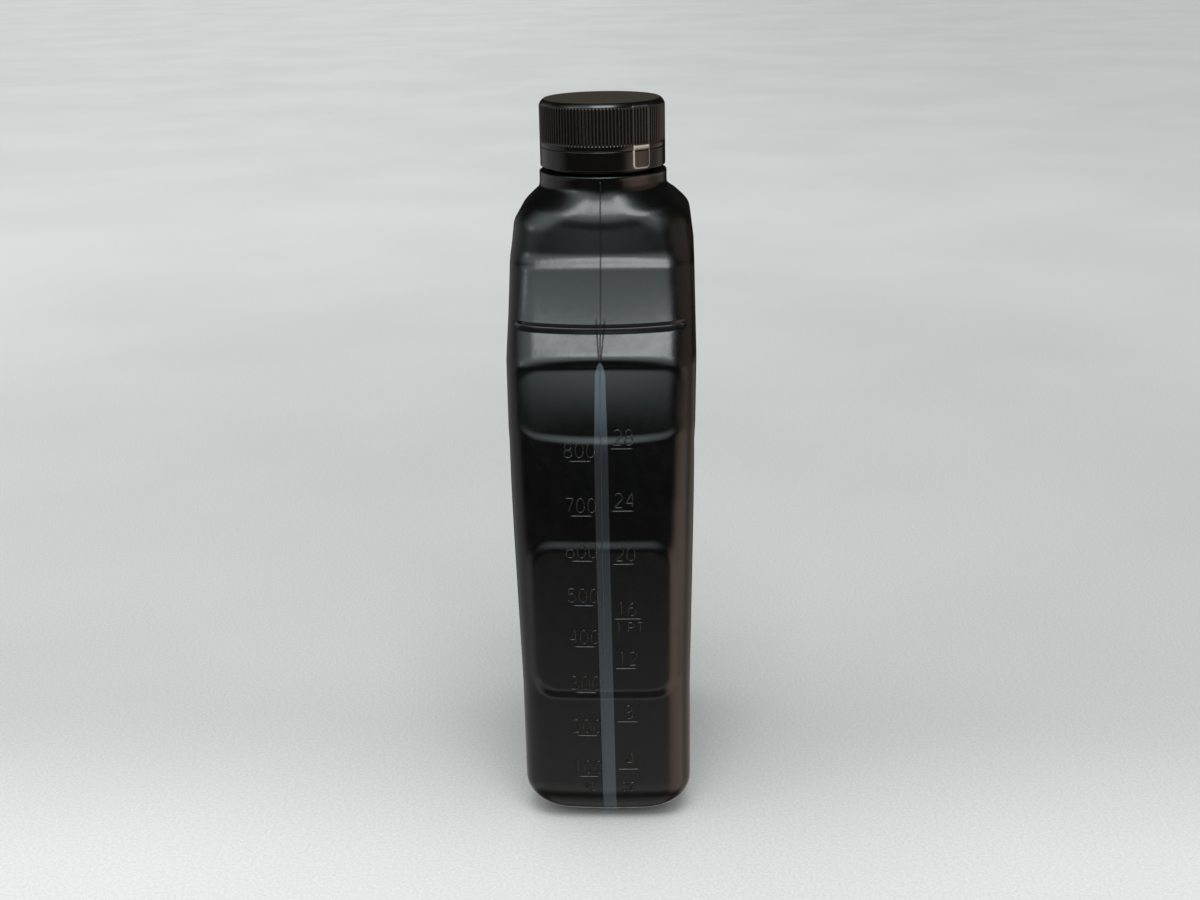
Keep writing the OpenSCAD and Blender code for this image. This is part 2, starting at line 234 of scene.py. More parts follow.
def side_relief(y, h):
    """How far the narrow side stands out of the plain outline."""
    panel = inside(from_panel(y, h, PANEL_LEN, Z_PANEL, Z_WAIST, PANEL_CORNER_R), SOFT)
    climb = np.clip((h - Z_GRIP) / (Z_BROW - Z_GRIP), 0, 1)
    grip_edge = GRIP_LOW_EDGE + (GRIP_TOP_EDGE - GRIP_LOW_EDGE) * climb
    grip = inside(from_panel(y, h, GRIP_LEN, Z_GRIP, Z_BROW, GRIP_CORNER_R), grip_edge)
    aside = np.minimum(np.abs(y) * 2 / GRIP_LEN, 1)
    fade = 1 - GRIP_FADE * aside ** 2
    depth = (GRIP_DEPTH + GRIP_BOW * (climb / GRIP_CREST - 1) ** 2) * fade
    groove = np.maximum(1 - np.abs(h - Z_GROOVE) / CREASE, 0) * inside(np.abs(y) - GRIP_LEN / 2, SOFT)
    return PANEL_RISE * panel - depth * grip - GROOVE_DEPTH * groove


def label_relief(x, h):
    """How far the broad side stands in."""
    return LABEL_DEPTH * inside(from_panel(x, h, LABEL_W, LABEL_BOTTOM, Z_GRIP, LABEL_CORNER_R), SOFT)


def outline(a, b, r, angle):
    """Points of rounded rectangles in directions that are scaled to the rectangle's sides."""
    least = 1e-9
    run_x = a * np.abs(np.cos(angle))
    run_y = b * np.abs(np.sin(angle))
    size = np.hypot(run_x, run_y)
    ux = np.maximum(run_x / size, least)
    uy = np.maximum(run_y / size, least)
    cx = a - r
    cy = b - r
    along = ux * cx + uy * cy
    corner = along + np.sqrt(np.maximum(along ** 2 - cx ** 2 - cy ** 2 + r ** 2, 0))
    reach = np.where(uy * a <= cy * ux, a / ux, np.where(ux * b <= cx * uy, b / uy, corner))
    return reach * ux * np.sign(np.cos(angle)), reach * uy * np.sign(np.sin(angle))


def skin(h, shrink, angle, inset=0.0, way_r=1.0, way_z=0.0):
    """Points of the body's skin at a height, moved into the wall by inset."""
    pull = shrink + inset * way_r
    arch = lookup(ARCHES, h)
    a = eased(HALF_WIDTHS, h) - pull
    b = eased(HALF_DEPTHS, h - arch) - pull
    r = np.minimum(np.minimum(eased(CORNER_RADII, h) - inset * way_r, a), b)
    x, y = outline(a, b, r, angle)
    back = label_relief(x, h) * inside(b - np.abs(y) - SOFT, SOFT)
    return np.stack([
        x * (1 - CROWN / a * (y / b) ** 2) + np.sign(x) * side_relief(y, h),
        y - np.sign(y) * back,
        h + inset * way_z - arch * (y / b) ** 2 + 0 * x,
    ], axis=-1)


def side_point(y, z, side=1.0):
    """Points of the flat of a narrow side at given depths and heights."""
    y = np.asarray(y, float)
    z = np.asarray(z, float)
    h = z.copy()
    for _ in range(4):
        b = eased(HALF_DEPTHS, h - lookup(ARCHES, h))
        h = z + lookup(ARCHES, h) * (y / b) ** 2
    sink = np.clip(BASE_EDGE_R - h, 0, BASE_EDGE_R)
    shrink = BASE_EDGE_R - np.sqrt(BASE_EDGE_R ** 2 - sink ** 2)
    x = eased(HALF_WIDTHS, h) - shrink + side_relief(y, h) - CROWN * (y / b) ** 2
    return np.stack([side * x, y, z], axis=-1)


def make_piece(name, points, faces, body, material, node=None, painted_highlight=None):
    """A smooth mesh from points in millimetres, riding on a body, with a painted highlight share from 0 to 1
    at each point.
    """
    mesh = bpy.data.meshes.new(name)
    mesh.from_pydata((np.asarray(points) * MM).tolist(), [], faces)
    mesh.validate()
    mesh.polygons.foreach_set("use_smooth", [True] * len(mesh.polygons))
    if painted_highlight is not None:
        mesh.attributes.new("painted_highlight", "FLOAT", "POINT").data.foreach_set("value", np.ravel(painted_highlight))
    mesh.materials.append(material)
    piece = bpy.data.objects.new(name, mesh)
    bpy.context.scene.collection.objects.link(piece)
    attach(piece, body)
    if node:
        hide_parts(node)
    return piece


def ring_faces(rows, columns, close_rows=False):
    """Faces of a grid of rings, each ring closed on itself."""
    faces = []
    last = rows if close_rows else rows - 1
    for k in range(last):
        low = k * columns
        high = (k + 1) % rows * columns
        for i in range(columns):
            j = (i + 1) % columns
            faces.append((low + i, low + j, high + j, high + i))
    return faces


def lid(row, columns, turned=False):
    """One face that closes a ring, turned over if asked."""
    face = tuple(row * columns + i for i in range(columns))
    return face[::-1] if turned else face


def circle_ring(radius, z, angles):
    """One round ring."""
    return np.stack([radius * np.cos(angles), radius * np.sin(angles), np.full_like(angles, z)], axis=-1)


def push_out(rings, amount):
    """Rings moved outwards from the axis by an amount at each point."""
    radius = np.hypot(rings[:, :, 0], rings[:, :, 1])
    rings[:, :, :2] *= ((radius + amount) / radius)[:, :, None]


def body_angles():
    """Directions round the body: close together at the corners and at the label's edge."""
    ref_a = 58.0
    ref_b = 31.0
    dense_to = 40.0
    flat_a = ref_a - CORNER_R
    flat_b = ref_b - CORNER_R
    turns = np.linspace(0, math.pi / 2, 21)[:-1]
    places = [(ref_a, y) for y in np.linspace(0, flat_b, 17)[:-1]]
    places += [(flat_a + CORNER_R * math.cos(t), flat_b + CORNER_R * math.sin(t)) for t in turns]
    places += [(x, ref_b) for x in np.linspace(flat_a, dense_to, 10)[:-1]]
    places += [(x, ref_b) for x in np.linspace(dense_to, 0, 11)]
    quarter = np.array([math.atan2(y / ref_b, x / ref_a) for x, y in places])
    half = np.concatenate([quarter[:-1], math.pi - quarter[:0:-1]])
    return np.concatenate([half, half + math.pi])


# Section of the neck's bead: how far it stands out of the neck, and heights about its foot
BEAD_SECTION = [(0, -0.3), (1.15, -0.08), (1.3, 0.1), (1.3, 0.7), (1.15, 0.9), (0.1, 1.5), (0, 1.7)]
LEDGE_EDGE_R = 0.5
LEDGE_EDGE_ROWS = 5
NECK_FILLET = 0.6
LIP_R = 0.6
LIP_BORE_R = 0.3
LIP_BEVEL = 0.08


def neck_profile():
    """Radii and heights over the collar's edge, up the neck, over its bead and lip, and down the bore."""
    profile = []
    for t in np.linspace(0, math.pi / 2, LEDGE_EDGE_ROWS):
        r = COLLAR_R - LEDGE_EDGE_R * (1 - math.cos(t))
        profile.append((r, Z_LEDGE - LEDGE_EDGE_R * (1 - math.sin(t))))
    profile += [
        (NECK_R + NECK_FILLET, Z_LEDGE),
        (NECK_R + NECK_FILLET / 4, Z_LEDGE + NECK_FILLET / 4),
        (NECK_R, Z_LEDGE + NECK_FILLET),
    ]
    profile += [(NECK_R + out, Z_BEAD + lift) for out, lift in BEAD_SECTION]
    profile += [
        (NECK_R, Z_MOUTH - LIP_R),
        (NECK_R - LIP_R / 3, Z_MOUTH - LIP_R / 3),
        (NECK_R - LIP_R, Z_MOUTH),
        (MOUTH_R + LIP_BORE_R, Z_MOUTH),
        (MOUTH_R + LIP_BEVEL, Z_MOUTH - LIP_BEVEL),
        (MOUTH_R, Z_MOUTH - LIP_BORE_R),
        (MOUTH_R, Z_LEDGE),
        (MOUTH_R, Z_LEDGE - WALL_T),
    ]
    return profile


# Row spacings on the body's outside, finer where it bends, and on its inside
PLAIN_ROW = 1.5
PANEL_ROW = 0.6
WAIST_ROW = 0.5
GRIP_ROW = 0.15
GROOVE_ROW = 0.16
SLOPE_ROW = 0.45
INNER_ROW = 2.4
INNER_LOW_ROW = 5.0

# How far the finer rows reach from a bend
PANEL_OUT = 5.0
PANEL_IN = 12.0
WAIST_REACH = 6.0
GRIP_REACH = 1.5
GROOVE_REACH = 2.0
LEDGE_MARGIN = 0.7
NECK_MARGIN = 0.1

# Rows round the base's edge and under the foot
PUSH_UP_ROWS = 7
BASE_EDGE_ROWS = 15
INNER_EDGE_ROWS = 7
FLOOR_SHARES = (0.04, 0.35, 0.7)


def outer_heights():
    """Heights of the rows up the outside, from above the base's edge to below the collar's."""
    stretches = [
        (BASE_EDGE_R + PLAIN_ROW, Z_PANEL - PANEL_OUT, PLAIN_ROW),
        (Z_PANEL - PANEL_OUT, Z_PANEL + PANEL_IN, PANEL_ROW),
        (Z_PANEL + PANEL_IN, Z_WAIST - PANEL_IN, PLAIN_ROW),
        (Z_WAIST - PANEL_IN, Z_WAIST + PANEL_OUT, PANEL_ROW),
        (Z_WAIST + PANEL_OUT, Z_GRIP - WAIST_REACH, PLAIN_ROW),
        (Z_GRIP - WAIST_REACH, Z_GRIP - GRIP_REACH, WAIST_ROW),
        (Z_GRIP - GRIP_REACH, Z_GRIP + GRIP_REACH, GRIP_ROW),
        (Z_GRIP + GRIP_REACH, Z_GROOVE - GROOVE_REACH, SLOPE_ROW),
        (Z_GROOVE - GROOVE_REACH, Z_GROOVE + GROOVE_REACH, GROOVE_ROW),
        (Z_GROOVE + GROOVE_REACH, Z_LEDGE - LEDGE_MARGIN, SLOPE_ROW),
    ]
    return np.concatenate([np.arange(low, high, step) for low, high, step in stretches])


def inner_heights():
    """Heights of the rows down the inside, from below the neck to the base's edge."""
    upper = np.arange(Z_LEDGE - NECK_MARGIN, Z_GRIP - WAIST_REACH, -INNER_ROW)[1:]
    lower = np.arange(Z_GRIP - WAIST_REACH, BASE_EDGE_R, -INNER_LOW_ROW)
    return np.concatenate([upper, lower])


def body_rings():
    """Rings of the whole body: under the push-up, up the outside, over the neck and down the inside."""
    angles = body_angles()
    foot_in = BASE_EDGE_R + FOOT_W
    plateau = skin(PUSH_UP, foot_in + PUSH_RUN, angles)
    rings = [plateau * [share, share, 1] for share in FLOOR_SHARES]
    for t in np.linspace(1, 0, PUSH_UP_ROWS):
        rings.append(skin(PUSH_UP * smooth(t), foot_in + PUSH_RUN * t, angles))
    for t in np.linspace(0, math.pi / 2, BASE_EDGE_ROWS):
        rings.append(skin(BASE_EDGE_R * (1 - math.cos(t)), BASE_EDGE_R * (1 - math.sin(t)), angles))
    rings += [skin(h, 0.0, angles) for h in outer_heights()]
    rings += [circle_ring(r, z, angles) for r, z in neck_profile()]
    rings.append(skin(Z_LEDGE, 0.0, angles, WALL_T, 1.0, -1.0))
    rings += [skin(h, 0.0, angles, WALL_T) for h in inner_heights()]
    for t in np.linspace(math.pi / 2, 0, INNER_EDGE_ROWS):
        h = BASE_EDGE_R * (1 - math.cos(t))
        shrink = BASE_EDGE_R * (1 - math.sin(t))
        rings.append(skin(h, shrink, angles, WALL_T, math.sin(t), math.cos(t)))
    floor_ring = skin(PUSH_UP, foot_in + PUSH_RUN, angles, WALL_T, 0.0, 1.0)
    rings.append(floor_ring)
    rings += [floor_ring * [share, share, 1] for share in FLOOR_SHARES[::-1]]
    return np.array(rings)


def build_body(material):
    """The blown body, one closed mesh with an outside and an inside."""
    rings = body_rings()
    rows, columns = rings.shape[:2]
    faces = ring_faces(rows, columns)
    faces.append(lid(0, columns, turned=True))
    faces.append(lid(rows - 1, columns))
    points = rings.reshape(-1, 3)
    return make_piece("body", points, faces, "bottle", material, "bottle_body")


# Material nodes: a socket as a value is linked, anything else is set
def set_input(tree, socket, value):
    if isinstance(value, bpy.types.NodeSocket):
        tree.links.new(value, socket)
    else:
        socket.default_value = value


def add_node(tree, kind, inputs=(), **settings):
    node = tree.nodes.new(kind)
    for key, value in settings.items():
        setattr(node, key, value)
    for key, value in dict(inputs).items():
        set_input(tree, node.inputs[key], value)
    return node


def maths(tree, operation, a, b=0.0, c=0.0, clamp=False):
    inputs = {0: a, 1: b, 2: c}
    return add_node(tree, "ShaderNodeMath", inputs, operation=operation, use_clamp=clamp).outputs[0]


def ramp(tree, value, low, high, to_low=0.0, to_high=1.0):
    """Smooth step of a value from one range to another."""
    inputs = {"Value": value, "From Min": low, "From Max": high, "To Min": to_low, "To Max": to_high}
    return add_node(tree, "ShaderNodeMapRange", inputs, interpolation_type="SMOOTHSTEP").outputs["Result"]


def noise(tree, coordinates, scale, detail=2.0, roughness=0.5, stretch=None):
    """Noise value, its coordinates stretched if asked."""
    if stretch:
        mapping = add_node(tree, "ShaderNodeMapping", {"Vector": coordinates, "Scale": stretch})
        coordinates = mapping.outputs["Vector"]
    inputs = {"Vector": coordinates, "Scale": scale, "Detail": detail, "Roughness": roughness}
    return add_node(tree, "ShaderNodeTexNoise", inputs).outputs["Fac"]


def mix_colour(tree, factor, first, second):
    node = add_node(tree, "ShaderNodeMix", {0: factor, 6: first, 7: second}, data_type="RGBA")
    return node.outputs[2]


def split_axes(tree, vector):
    axes = add_node(tree, "ShaderNodeSeparateXYZ", {"Vector": vector}).outputs
    return axes[0], axes[1], axes[2]


def worn(tree, colour, worn_colour):
    """A colour with painted highlights: paler by the painted highlight share at each point of the mesh."""
    painted_highlight = add_node(tree, "ShaderNodeAttribute", attribute_name="painted_highlight").outputs["Fac"]
    return mix_colour(tree, painted_highlight, colour, worn_colour)


def new_material(name):
    material = bpy.data.materials.new(name)
    material.use_nodes = True
    tree = material.node_tree
    tree.nodes.clear()
    coordinates = add_node(tree, "ShaderNodeTexCoord").outputs["Object"]
    shader = add_node(tree, "ShaderNodeBsdfPrincipled")
    output = add_node(tree, "ShaderNodeOutputMaterial")
    tree.links.new(shader.outputs["BSDF"], output.inputs["Surface"])
    return material, tree, coordinates, shader


def set_inputs(tree, shader, **inputs):
    for key, value in inputs.items():
        set_input(tree, shader.inputs[key.replace("_", " ")], value)


# View stripe: its middle at the foot, its lean, its round tip, and half widths at two heights
STRIPE_START = 0.9
STRIPE_LEAN = -0.0056
STRIPE_TIP = 161.2
STRIPE_TIP_RUN = 4.0
STRIPE_HIGH = (160.0, 1.65)
STRIPE_LOW = (130.0, 2.22)
STRIPE_BLUR = 0.12
STRIPE_FROM_X = (36.0, 38.0)


def stripe_centre(z):
    """Depth of the view stripe's middle at a height: it leans a little."""
    return STRIPE_START + STRIPE_LEAN * z


def stripe_share(tree, place):
    """Share of the view stripe at each place, on the scale side alone."""
    x, y, z = split_axes(tree, place)
    centre = maths(tree, "MULTIPLY_ADD", z, STRIPE_LEAN, STRIPE_START * MM)
    off = maths(tree, "ABSOLUTE", maths(tree, "SUBTRACT", y, centre))
    to_tip = maths(tree, "SUBTRACT", STRIPE_TIP * MM, z)
    below_tip = maths(tree, "DIVIDE", to_tip, STRIPE_TIP_RUN * MM, clamp=True)
    high_z, high_half = STRIPE_HIGH
    low_z, low_half = STRIPE_LOW
    full_half = ramp(tree, z, high_z * MM, low_z * MM, high_half * MM, low_half * MM)
    half_width = maths(tree, "MULTIPLY", maths(tree, "SQRT", below_tip), full_half)
    edge = maths(tree, "SUBTRACT", off, half_width)
    across = ramp(tree, edge, STRIPE_BLUR * MM, -STRIPE_BLUR * MM)
    front = ramp(tree, x, STRIPE_FROM_X[0] * MM, STRIPE_FROM_X[1] * MM)
    return maths(tree, "MULTIPLY", across, front)


def bottle_plastic():
    """Satin black plastic with a blue-grey view stripe down the scale side."""
    material, tree, place, shader = new_material("bottle_plastic")
    cold_black = (0.0016, 0.0017, 0.0018, 1)
    warm_black = (0.0030, 0.0029, 0.0028, 1)
    low_blue = (0.054, 0.064, 0.074, 1)
    high_blue = (0.070, 0.088, 0.112, 1)
    streak_blue = (0.030, 0.036, 0.046, 1)
    highlight_grey = (0.20, 0.21, 0.21, 1)
    z = split_axes(tree, place)[2]
    black = mix_colour(tree, noise(tree, place, 90.0, 4.0, 0.6), cold_black, warm_black)
    # The stripe is darkest just below the grip and paler above it: partly its own tint, partly painted light
    # and shade
    low_pale = mix_colour(tree, ramp(tree, z, 0.0, 0.130, 1.0, 0.3), black, low_blue)
    pale = mix_colour(tree, ramp(tree, z, 0.130, 0.150), low_pale, high_blue)
    streak = noise(tree, place, 1.0, 2.0, 0.5, (900, 900, 9))
    pale = mix_colour(tree, maths(tree, "MULTIPLY", streak, 0.25), pale, streak_blue)
    # Painted highlights: paler by the share stored at each point of a mesh, which only the scale marks'
    # crests carry
    colour = worn(tree, mix_colour(tree, stripe_share(tree, place), black, pale), highlight_grey)
    roughness = ramp(tree, noise(tree, place, 260.0, 3.0, 0.6), 0.2, 0.8, 0.20, 0.28)
    grain = noise(tree, place, 2600.0, 3.0, 0.6)
    die_lines = noise(tree, place, 1.0, 2.0, 0.6, (700, 700, 5))
    fine = add_node(tree, "ShaderNodeBump", {"Height": grain, "Strength": 0.10, "Distance": 0.0002})
    lines = {"Height": die_lines, "Strength": 0.06, "Distance": 0.0005, "Normal": fine.outputs["Normal"]}
    normal = add_node(tree, "ShaderNodeBump", lines).outputs["Normal"]
    set_inputs(tree, shader, Base_Color=colour, Roughness=roughness, Normal=normal)
    return material


def cap_plastic():
    """Glossy black plastic, duller on the roof of the cap, with a brown sheen painted on the roof and
    painted highlights on edges and rib crests.
    """
    material, tree, place, shader = new_material("cap_plastic")
    dark_black = (0.0030, 0.0027, 0.0024, 1)
    pale_black = (0.0056, 0.0050, 0.0044, 1)
    # The browns are a painted sheen, a painted reflection on the roof, not the plastic's own colour
    dark_roof_sheen = (0.0400, 0.0340, 0.0240, 1)
    pale_roof_sheen = (0.0540, 0.0460, 0.0330, 1)
    highlight_pink = (0.60, 0.49, 0.43, 1)
    z = split_axes(tree, place)[2]
    mottle = noise(tree, place, 120.0, 4.0, 0.6)
    black = mix_colour(tree, mottle, dark_black, pale_black)
    roof_sheen = mix_colour(tree, mottle, dark_roof_sheen, pale_roof_sheen)
    # Painted brown sheen on the roof
    on_roof = ramp(tree, z, (Z_TOP - 0.35) * MM, (Z_TOP - 0.05) * MM)
    # Painted highlights, paler by the share stored at each point of the mesh
    colour = worn(tree, mix_colour(tree, on_roof, black, roof_sheen), highlight_pink)
    smear = noise(tree, place, 180.0, 3.0, 0.6)
    gloss = ramp(tree, smear, 0.25, 0.75, 0.13, 0.21)
    dull = ramp(tree, smear, 0.25, 0.75, 0.34, 0.42)
    roughness = add_node(tree, "ShaderNodeMix", {0: on_roof, 2: gloss, 3: dull}).outputs[0]
    grain = noise(tree, place, 2200.0, 2.0, 0.5)
    bump = add_node(tree, "ShaderNodeBump", {"Height": grain, "Strength": 0.05, "Distance": 0.0001})
    set_inputs(tree, shader, Base_Color=colour, Roughness=roughness, Normal=bump.outputs["Normal"])
    return material


def liner_foam():
    """Matt white foam with fine cells."""
    material, tree, place, shader = new_material("liner_foam")
    dark_foam = (0.80, 0.80, 0.76, 1)
    pale_foam = (0.90, 0.90, 0.87, 1)
    cells = add_node(tree, "ShaderNodeTexVoronoi", {"Vector": place, "Scale": 2400.0}).outputs["Distance"]
    tint = noise(tree, place, 300.0, 3.0)
    colour = mix_colour(tree, tint, dark_foam, pale_foam)
    bump = add_node(tree, "ShaderNodeBump", {"Height": cells, "Strength": 0.3, "Distance": 0.0002})
    roughness = ramp(tree, tint, 0.2, 0.8, 0.75, 0.9)
    set_inputs(tree, shader, Base_Color=colour, Roughness=roughness, Normal=bump.outputs["Normal"])
    return material


def floor_paper():
    """Pale grey paper, softly mottled and finely speckled, with painted light and shade across it."""
    material, tree, place, shader = new_material("floor_paper")
    black = (0, 0, 0, 1)
    white = (1.0, 1.02, 1.01, 1)
    x, y, _ = split_axes(tree, place)
    far = add_node(tree, "ShaderNodeVectorMath", {0: place}, operation="LENGTH").outputs["Value"]
    # Painted light and shade: paler close in front of the bottle and far from it, and painted shade to one
    # side and below the lamps
    tone = maths(tree, "ADD", ramp(tree, x, -0.03, 0.10, 0.60, 0.78), ramp(tree, far, 0.2, 1.3, 0.0, 0.22))
    shades = [
        ramp(tree, y, -0.9, 0.9, 1.08, 0.88),
        ramp(tree, x, 0.15, 0.6, 1.0, 0.84),
        ramp(tree, noise(tree, place, 4.0, 3.0, 0.5), 0.3, 0.7, 0.97, 1.03),
        ramp(tree, noise(tree, place, 900.0, 2.0, 0.6), 0.25, 0.75, 0.93, 1.07),
    ]
    for shade in shades:
        tone = maths(tree, "MULTIPLY", tone, shade)
    colour = mix_colour(tree, tone, black, white)
    set_inputs(tree, shader, Base_Color=colour, Roughness=0.9, Specular_IOR_Level=0.2)
    return material


# Index pad of the cap and tab of the ring, one above the other
PAD_ANGLE = math.radians(40.0)
PAD_W = 6.4
PAD_RISE = 0.4
PAD_EDGE = 0.2
PAD_TOP_LIFT = 0.5
PAD_TOP_FADE = 0.4
TAB_W = 6.6
TAB_H = 5.8
TAB_CORNER_R = 1.4
TAB_EDGE = 0.3
TAB_OVERRUN = 3.0

# Cap: its lower edge, rim, ribs and top edge
CAP_FOOT_GAP = 0.1
CAP_RIM_H = 1.2
CAP_EDGE_R = 1.7
CAP_EDGE_POWER = 1.4
CAP_EDGE_ROWS = 13
ROOF_RADII = (17, 12, 6, 0.5)
RIBS = 112
RIB_POINTS = 8
RIB_DEPTH = 0.42
RIB_VALLEY_POWER = 1.5
RIB_END_H = 0.5
RIB_END_GAP = 0.05
BAND_STEP = 0.25
Z_FOOT = Z_SCORE + CAP_FOOT_GAP
Z_RIM = Z_CAP + CAP_RIM_H
Z_RIBS = Z_TOP - CAP_EDGE_R

# Painted highlights: where their soft lines run and how wide they are, and their strength on the wall and
# the ribs
HIGHLIGHT_INSET = 0.1
HIGHLIGHT_W = 0.16
TAB_HIGHLIGHT_W = 0.22
PAD_HIGHLIGHT_EDGE = 0.1
RIM_HIGHLIGHT_LIFT = 0.2
TOP_HIGHLIGHT_LIFT = 0.2
TOP_HIGHLIGHT_W = 0.2
RIB_END_DROP = 0.3
RIB_END_W = 0.18
WALL_HIGHLIGHT = 0.10
RIB_HIGHLIGHT = 0.03
RIB_END_HIGHLIGHT = 0.07
RIB_HIGHLIGHT_POWER = 4


def line_share(distance, half_width):
    """Share of a soft line at a distance from its middle."""
    return np.exp(-(distance / half_width) ** 2)


def from_pad_middle(angles):
    """Signed distance along the cap's wall from the middle of the pad."""
    return np.angle(np.exp(1j * (angles - PAD_ANGLE))) * CAP_R


def cap_outside():
    """Radii and heights from the cap's lower edge up its wall and in to the roof's middle."""
    profile = [(CAP_R - 0.12, Z_FOOT), (CAP_R - 0.03, Z_FOOT + 0.04), (CAP_R, Z_FOOT + 0.12)]
    profile += [(CAP_R, Z_RIM + lift) for lift in (-0.15, 0, 0.15, 0.35, 0.6)]
    profile += [(CAP_R, z) for z in np.linspace(Z_RIM + 1.4, Z_RIBS - 0.7, 8)]
    profile += [(CAP_R, z) for z in np.linspace(Z_RIBS - 0.6, Z_RIBS - 0.05, 6)]
    for t in np.linspace(0, math.pi / 2, CAP_EDGE_ROWS):
        fall = CAP_EDGE_R * (1 - math.cos(t) ** CAP_EDGE_POWER)
        climb = CAP_EDGE_R * math.sin(t) ** CAP_EDGE_POWER
        profile.append((CAP_R - fall, Z_RIBS + climb))
    profile += [(r, Z_TOP) for r in ROOF_RADII]
    return profile


def cap_inside():
    """Radii and heights from the middle under the roof out to the bore and down to its lower edge."""
    profile = [(0.5, Z_ROOF), (8, Z_ROOF), (BORE_R - 0.3, Z_ROOF), (BORE_R, Z_ROOF - 0.3)]
    profile += [(BORE_R, z) for z in np.linspace(Z_ROOF - 2, Z_FOOT + 0.5, 6)]
    profile += [(BORE_R + 0.15, Z_FOOT + 0.1), (BORE_R + 0.4, Z_FOOT)]
    return profile


def build_cap(material):
    """Cap with fine upright ribs, a smooth rim, a soft top edge and an index pad over the ring's tab."""
    columns = RIBS * RIB_POINTS
    angles = np.arange(columns) * 2 * math.pi / columns
    outer = cap_outside()
    rings = np.array([circle_ring(r, z, angles) for r, z in outer + cap_inside()])
    rows = len(rings)
    z = rings[:, 0, 2][:, None]
    is_outer = (np.arange(rows) < len(outer))[:, None]
    # Ribs: round crests that end below the plain top band, and narrow valleys that run out at the rim
    crest = (0.5 - 0.5 * np.cos(angles * RIBS))[None, :]
    below_band = np.sqrt(np.clip((Z_RIBS - RIB_END_GAP - z) / RIB_END_H, 0, 1))
    ribbed = np.clip((z - Z_RIM) / RIB_END_H, 0, 1) * below_band
    valley = (1 - crest) ** RIB_VALLEY_POWER * ribbed
    sink = (RIB_DEPTH * valley + BAND_STEP * (1 - below_band)) * is_outer * (z > Z_RIM)
    # Pad: a plain step outwards, fading at its top
    from_edge = (np.abs(from_pad_middle(angles)) - PAD_W / 2)[None, :]
    pad_height = np.clip((Z_RIBS + PAD_TOP_LIFT - z) / PAD_TOP_FADE, 0, 1)
    rise = PAD_RISE * inside(from_edge, PAD_EDGE) * pad_height * is_outer
    # Painted highlights: along the pad's sides and its top and rim edges, and lightly on the crests of the
    # ribs, most near their upper ends
    on_pad = inside(from_edge, PAD_HIGHLIGHT_EDGE)
    side_highlight = line_share(from_edge + HIGHLIGHT_INSET, HIGHLIGHT_W) * pad_height
    rim_highlight = line_share(z - Z_RIM + HIGHLIGHT_INSET, HIGHLIGHT_W) * on_pad
    top_highlight = line_share(z - Z_RIBS - TOP_HIGHLIGHT_LIFT, TOP_HIGHLIGHT_W) * on_pad
    rib_end = line_share(z - Z_RIBS + RIB_END_DROP, RIB_END_W)
    crest_highlight = (RIB_HIGHLIGHT + RIB_END_HIGHLIGHT * rib_end) * crest ** RIB_HIGHLIGHT_POWER * ribbed
    on_rim = z < Z_RIM + RIM_HIGHLIGHT_LIFT
    wall_highlight = np.maximum(WALL_HIGHLIGHT * np.maximum(side_highlight, top_highlight), crest_highlight)
    painted_highlight = np.where(on_rim, np.maximum(side_highlight, rim_highlight), wall_highlight) * is_outer
    push_out(rings, rise - sink)
    # The roof is closed at its middle, above and below
    top = len(outer) - 1
    faces = ring_faces(rows, columns, close_rows=True)
    del faces[top * columns:(top + 1) * columns]
    faces.append(lid(top, columns))
    faces.append(lid(top + 1, columns, turned=True))
    points = rings.reshape(-1, 3)
    return make_piece("cap_shell", points, faces, "cap", material, "cap", painted_highlight)


# Tamper ring: its wall, and its hook under the neck's bead
RING_WALL = 1.5
RING_FIT = 0.3
HOOK_DROP = 0.6
HOOK_H = 1.0
SKIN_DEPTH = 0.35

# Columns of the ring, closer together about the tab
TAB_REACH = 6.0
TAB_COLUMNS = 81
PLAIN_COLUMNS = 200


def ring_profile():
    """Radii and heights round the ring's section: up the outside, over the score line and round the hook."""
    wall_r = CAP_R - RING_WALL
    lip_r = NECK_R + RING_FIT
    hook_z = Z_BEAD - HOOK_DROP
    soft = 0.1
    profile = [(wall_r, Z_RING), (CAP_R - 0.3, Z_RING), (CAP_R - 0.08, Z_RING + 0.09)]
    profile += [(CAP_R, z) for z in np.linspace(Z_RING + 0.3, Z_SCORE - 0.2, 40)]
    profile += [(CAP_R - 0.06, Z_SCORE - 0.05), (CAP_R - 0.2, Z_SCORE), (wall_r, Z_SCORE)]
    profile += [(wall_r, hook_z + 0.2), (wall_r - 0.2, hook_z), (lip_r + soft, hook_z)]
    profile += [(lip_r, hook_z - soft), (lip_r, hook_z - HOOK_H + soft)]
    profile += [(lip_r + soft, hook_z - HOOK_H - soft / 2), (wall_r, hook_z - 2 * HOOK_H)]
    return profile


